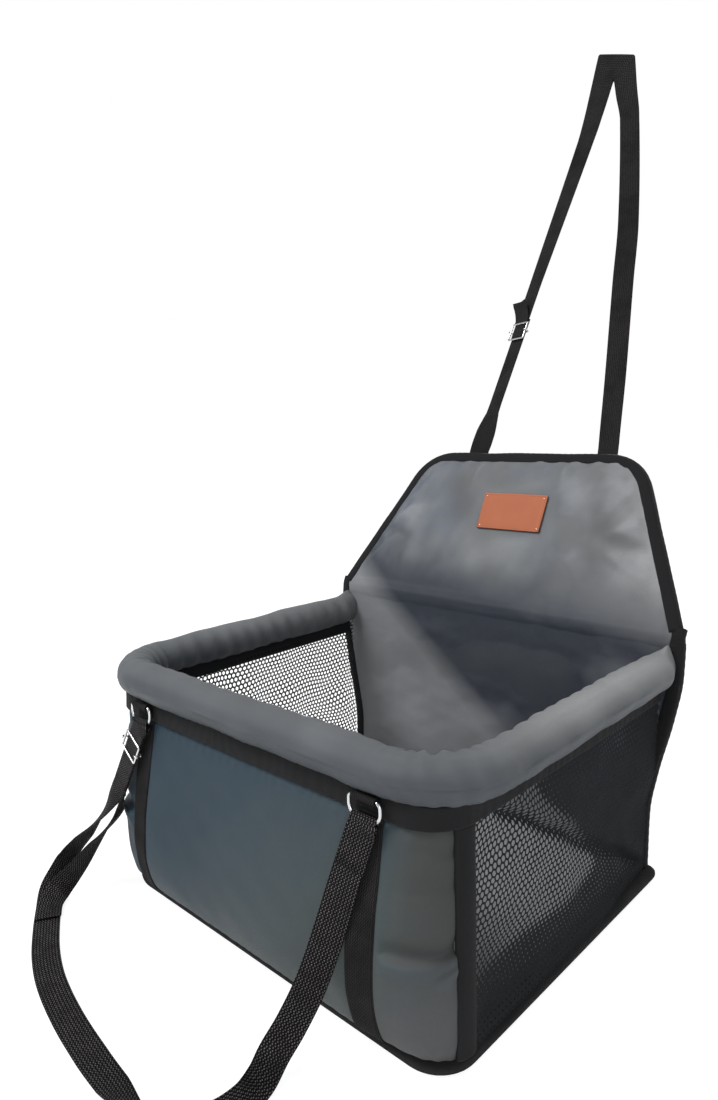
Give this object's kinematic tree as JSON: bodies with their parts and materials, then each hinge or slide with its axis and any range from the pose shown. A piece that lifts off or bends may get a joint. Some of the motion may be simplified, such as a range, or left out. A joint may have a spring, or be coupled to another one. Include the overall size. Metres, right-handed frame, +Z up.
{
  "type": "dog car seat",
  "caption": "Open fabric booster basket for a small dog, with a padded rim, net sides, a folding padded back, a shoulder strap on rings and a headrest strap.",
  "frame": {"origin": "centre of the base's underside, on the seat that it stands on", "axes": "+X runs across the seat from the object's left to its right as seen from the front, -Y is its open front, +Z is up"},
  "size_m": [0.4958, 0.8784, 0.9676],
  "materials": {
    "slate_fabric": "close-woven coated cloth with a low sheen",
    "grey_fabric": "close-woven coated cloth, slightly puckered",
    "lining_fabric": "dark plain-weave lining",
    "black_cloth": "black woven binding tape and cloth",
    "black_webbing": "coarse woven black webbing",
    "black_net": "black knitted net",
    "foam": "soft open foam, hidden",
    "stiffener_board": "flat stiffener sheet, hidden",
    "plastic_pipe": "extruded plastic pipe, hidden",
    "brown_leather": "smooth tan imitation leather, blank",
    "bright_wire": "bright plated wire"
  },
  "bodies": {
    "root": {"base_cloth": "black_cloth", "base_edge": "black_cloth", "base_board": "stiffener_board", "base_pad": "grey_fabric", "front_face": "slate_fabric", "front_foam": "foam", "front_lining": "lining_fabric", "corner_binding_left": "black_cloth", "corner_binding_right": "black_cloth", "front_webbing_left": "black_webbing", "front_webbing_right": "black_webbing", "rim_band": "black_cloth", "side_net_left": "black_net", "side_net_right": "black_net", "rim_sleeve": "grey_fabric", "rim_foam": "foam", "rim_pipe_front": "plastic_pipe", "rim_pipe_left": "plastic_pipe", "rim_pipe_right": "plastic_pipe", "rim_elbow_left": "plastic_pipe", "rim_elbow_right": "plastic_pipe", "lower_back_cloth": "black_cloth", "lower_back_board": "stiffener_board", "lower_back_foam": "foam", "lower_back_face": "lining_fabric", "back_binding_left": "black_cloth", "back_binding_right": "black_cloth", "crease_seam": "black_cloth", "ring_tab_left": "black_webbing", "ring_tab_right": "black_webbing", "strap_main": "black_webbing", "strap_tail": "black_webbing"},
    "flap": {"flap_cloth": "black_cloth", "flap_board": "stiffener_board", "flap_foam": "foam", "flap_face": "grey_fabric", "flap_binding": "black_cloth", "leather_patch": "brown_leather", "crease_cloth": "black_cloth", "headrest_strap_left": "black_webbing", "headrest_strap_over": "black_webbing"},
    "headrest_slider": {"headrest_slider_frame": "bright_wire", "headrest_slider_bar": "bright_wire", "headrest_strap_tail": "black_webbing"},
    "ring_left": {"d_ring_left": "bright_wire", "strap_end_left": "black_webbing"},
    "ring_right": {"d_ring_right": "bright_wire", "strap_end_right": "black_webbing"},
    "shoulder_slider": {"shoulder_slider_frame": "bright_wire", "shoulder_slider_bar": "bright_wire"}
  },
  "joints": [
    {"name": "back_flap", "type": "hinge", "parent": "root", "child": "flap", "pos_m": [0, 0.1835, 0.262], "axis": [1, 0, 0], "range_deg": [-30, 115]},
    {"name": "dring_left", "type": "hinge", "parent": "root", "child": "ring_left", "pos_m": [-0.15, -0.192, 0.2114], "axis": [-1, 0, 0], "range_deg": [0, 100]},
    {"name": "dring_right", "type": "hinge", "parent": "root", "child": "ring_right", "pos_m": [0.15, -0.192, 0.2114], "axis": [-1, 0, 0], "range_deg": [0, 100]},
    {"name": "shoulder_slider", "type": "slide", "parent": "ring_left", "child": "shoulder_slider", "axis": [-0.412, -0.126, -0.9024], "range_m": [0, 0.03]},
    {"name": "headrest_slider", "type": "slide", "parent": "flap", "child": "headrest_slider", "axis": [0.1162, 0.3954, 0.9111], "range_m": [-0.1, 0.05]}
  ]
}
